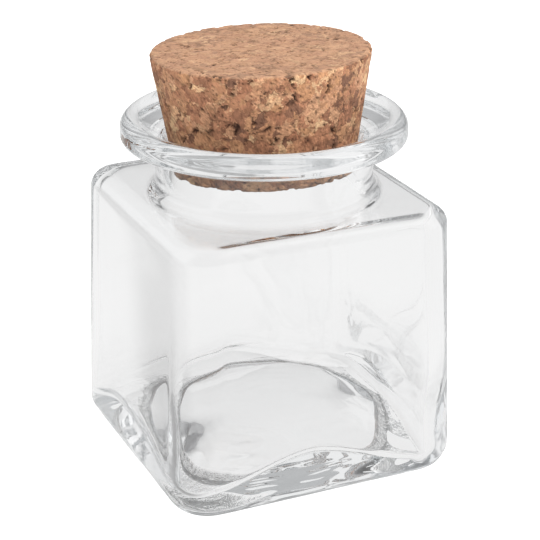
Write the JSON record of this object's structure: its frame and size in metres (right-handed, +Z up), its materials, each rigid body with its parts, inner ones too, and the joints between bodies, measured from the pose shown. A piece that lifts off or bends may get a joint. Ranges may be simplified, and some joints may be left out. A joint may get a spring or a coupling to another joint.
{
  "type": "glass jar with cork lid",
  "caption": "Square clear glass jar with a thick pushed-up base, a short round neck, a flared rounded lip and a tapered cork stopper that lifts out.",
  "frame": {"origin": "centre of the foot, on the surface the jar stands on", "axes": "+Z up along the axis of the neck and the stopper; the wide face seen in the picture looks along -Y and the narrow one along -X"},
  "size_m": [0.0514, 0.0514, 0.0713],
  "materials": {
    "clear_glass": "clear, glossy, slightly wavy moulded glass",
    "cork": "matt agglomerated cork granules, light on top and darker at the side"
  },
  "bodies": {
    "jar": {"glass_jar": "clear_glass"},
    "stopper": {"cork_stopper": "cork"}
  },
  "joints": [
    {"name": "cork_lift", "type": "slide", "parent": "jar", "child": "stopper", "axis": [0, 0, 1], "range_m": [0, 0.02]}
  ]
}
